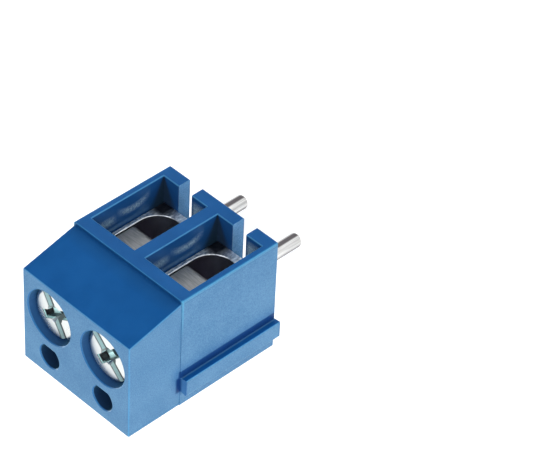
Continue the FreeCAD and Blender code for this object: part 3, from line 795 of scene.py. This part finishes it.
def make_materials():
    """Dresses every CAD node, and makes the housing's grooved replacement."""
    plastic = housing_plastic()
    dress(["housing"], plastic)
    grooved_housing(plastic)
    dress(["clamp_1", "clamp_2"], clamp_metal())
    dress(["wire_guard_1", "wire_guard_2"], guard_metal())
    for name in SLOT_TURN:
        dress([name], screw_metal(name))
    dress(["pin_1", "pin_2"], pin_metal())


# The stage: a flat floor that curves up to a rim; its glow rises from near to far
STAGE_FLAT = 400.0
FLAT_RINGS = (0.25, 0.5, 1.0)
STAGE_CURVE = 120.0
CURVE_STEPS = 8
STAGE_RIM = 200.0
STAGE_SPOKES = 48
FLOOR_GAP = 0.01
STAGE_ALBEDO = 0.9
SEEN_ALBEDO = 0.45
NEAR_GLOW, FAR_GLOW = 0.78, 0.9
GLOW_SPAN = (60.0, 300.0)
WHITE = (1.0, 1.0, 1.0, 1.0)


def stage_profile():
    """Distances and heights of the stage's section: flat, then curving up to a low rim."""
    profile = [(STAGE_FLAT * share, 0.0) for share in FLAT_RINGS]
    for step in range(1, CURVE_STEPS + 1):
        turn = 0.5 * math.pi * step / CURVE_STEPS
        profile.append((STAGE_FLAT + STAGE_CURVE * math.sin(turn), STAGE_CURVE * (1.0 - math.cos(turn))))
    profile.append((STAGE_FLAT + STAGE_CURVE, STAGE_RIM))
    return profile


def stage_material():
    """Pale and matt for the light; a ray that looks at it sees it darker, with a glow on top."""
    material, tree, shader = new_material("stage_pale")
    path = tree.nodes.new("ShaderNodeLightPath")
    rays = ("Is Camera Ray", "Is Glossy Ray", "Is Transmission Ray")
    looks = either(tree, *[path.outputs[ray] for ray in rays])
    albedo = blend(tree, looks, (STAGE_ALBEDO,) * 3, (SEEN_ALBEDO,) * 3)
    tree.links.new(albedo, shader.inputs["Base Color"])
    away = add(tree, "ShaderNodeVectorMath", _operation="LENGTH")
    tree.links.new(position(tree), away.inputs[0])
    glow = between(tree, away.outputs["Value"], NEAR_GLOW, FAR_GLOW, *[reach * MM for reach in GLOW_SPAN])
    shader.inputs["Emission Color"].default_value = WHITE
    tree.links.new(product(tree, looks, glow), shader.inputs["Emission Strength"])
    shader.inputs["Roughness"].default_value = 1.0
    shader.inputs["Specular IOR Level"].default_value = 0.0
    return material


def make_stage():
    """A pale floor just under the pins' tips that curves up to a low rim far away."""
    level = CAD_BOX[0].z - FLOOR_GAP * MM
    shape = bmesh.new()
    middle = shape.verts.new((0.0, 0.0, level))
    rings = []
    for reach, height in stage_profile():
        ring = []
        for spoke in range(STAGE_SPOKES):
            turn = 2.0 * math.pi * spoke / STAGE_SPOKES
            place = (reach * MM * math.cos(turn), reach * MM * math.sin(turn), level + height * MM)
            ring.append(shape.verts.new(place))
        rings.append(ring)
    for spoke in range(STAGE_SPOKES):
        following = (spoke + 1) % STAGE_SPOKES
        shape.faces.new((middle, rings[0][spoke], rings[0][following]))
        for inner, outer in zip(rings, rings[1:]):
            shape.faces.new((inner[spoke], outer[spoke], outer[following], inner[following]))
    for face in shape.faces:
        face.smooth = True
    mesh = bpy.data.meshes.new("stage")
    shape.to_mesh(mesh)
    shape.free()
    stage = bpy.data.objects.new("stage", mesh)
    bpy.context.scene.collection.objects.link(stage)
    mesh.materials.append(stage_material())


# The world, and square soft lamps: their places in millimetres and their power in watts
WORLD_COLOUR = (0.94, 0.97, 1.0, 1.0)
WORLD_STRENGTH = 0.18
LAMPS = {
    "lamp_front": ((0.0, -220.0, 40.0), 0.09),
    "lamp_front_high": ((-80.0, -140.0, 200.0), 0.3),
    "lamp_behind": ((130.0, 160.0, 140.0), 0.055),
    "lamp_back_high": ((-20.0, 100.0, 260.0), 0.56),
    "lamp_back_left": ((-210.0, 110.0, 60.0), 0.28),
    "lamp_right": ((220.0, 60.0, 30.0), 0.36),
    "lamp_left": ((-220.0, -60.0, 100.0), 0.17),
}
LAMP_SIZE = 120.0
LAMP_AIM = (0.0, 0.0, 4.0)


def make_world():
    """A dim room, which leaves the light to the lamps and the pale stage."""
    world = bpy.data.worlds.new("world")
    bpy.context.scene.world = world
    world.use_nodes = True
    background = world.node_tree.nodes["Background"]
    background.inputs["Color"].default_value = WORLD_COLOUR
    background.inputs["Strength"].default_value = WORLD_STRENGTH


def make_lamps():
    """Lamps round the part, all aimed at its middle."""
    for name, (place, power) in LAMPS.items():
        data = bpy.data.lights.new(name, "AREA")
        data.size = LAMP_SIZE * MM
        data.energy = power
        lamp = bpy.data.objects.new(name, data)
        bpy.context.scene.collection.objects.link(lamp)
        lamp.location = Vector(place) * MM
        lamp.rotation_mode = "QUATERNION"
        lamp.rotation_quaternion = (Vector(LAMP_AIM) * MM - lamp.location).to_track_quat("-Z", "Y")


make_camera()
make_materials()
make_stage()
make_world()
make_lamps()

scene = bpy.context.scene
scene.view_settings.view_transform = "Standard"
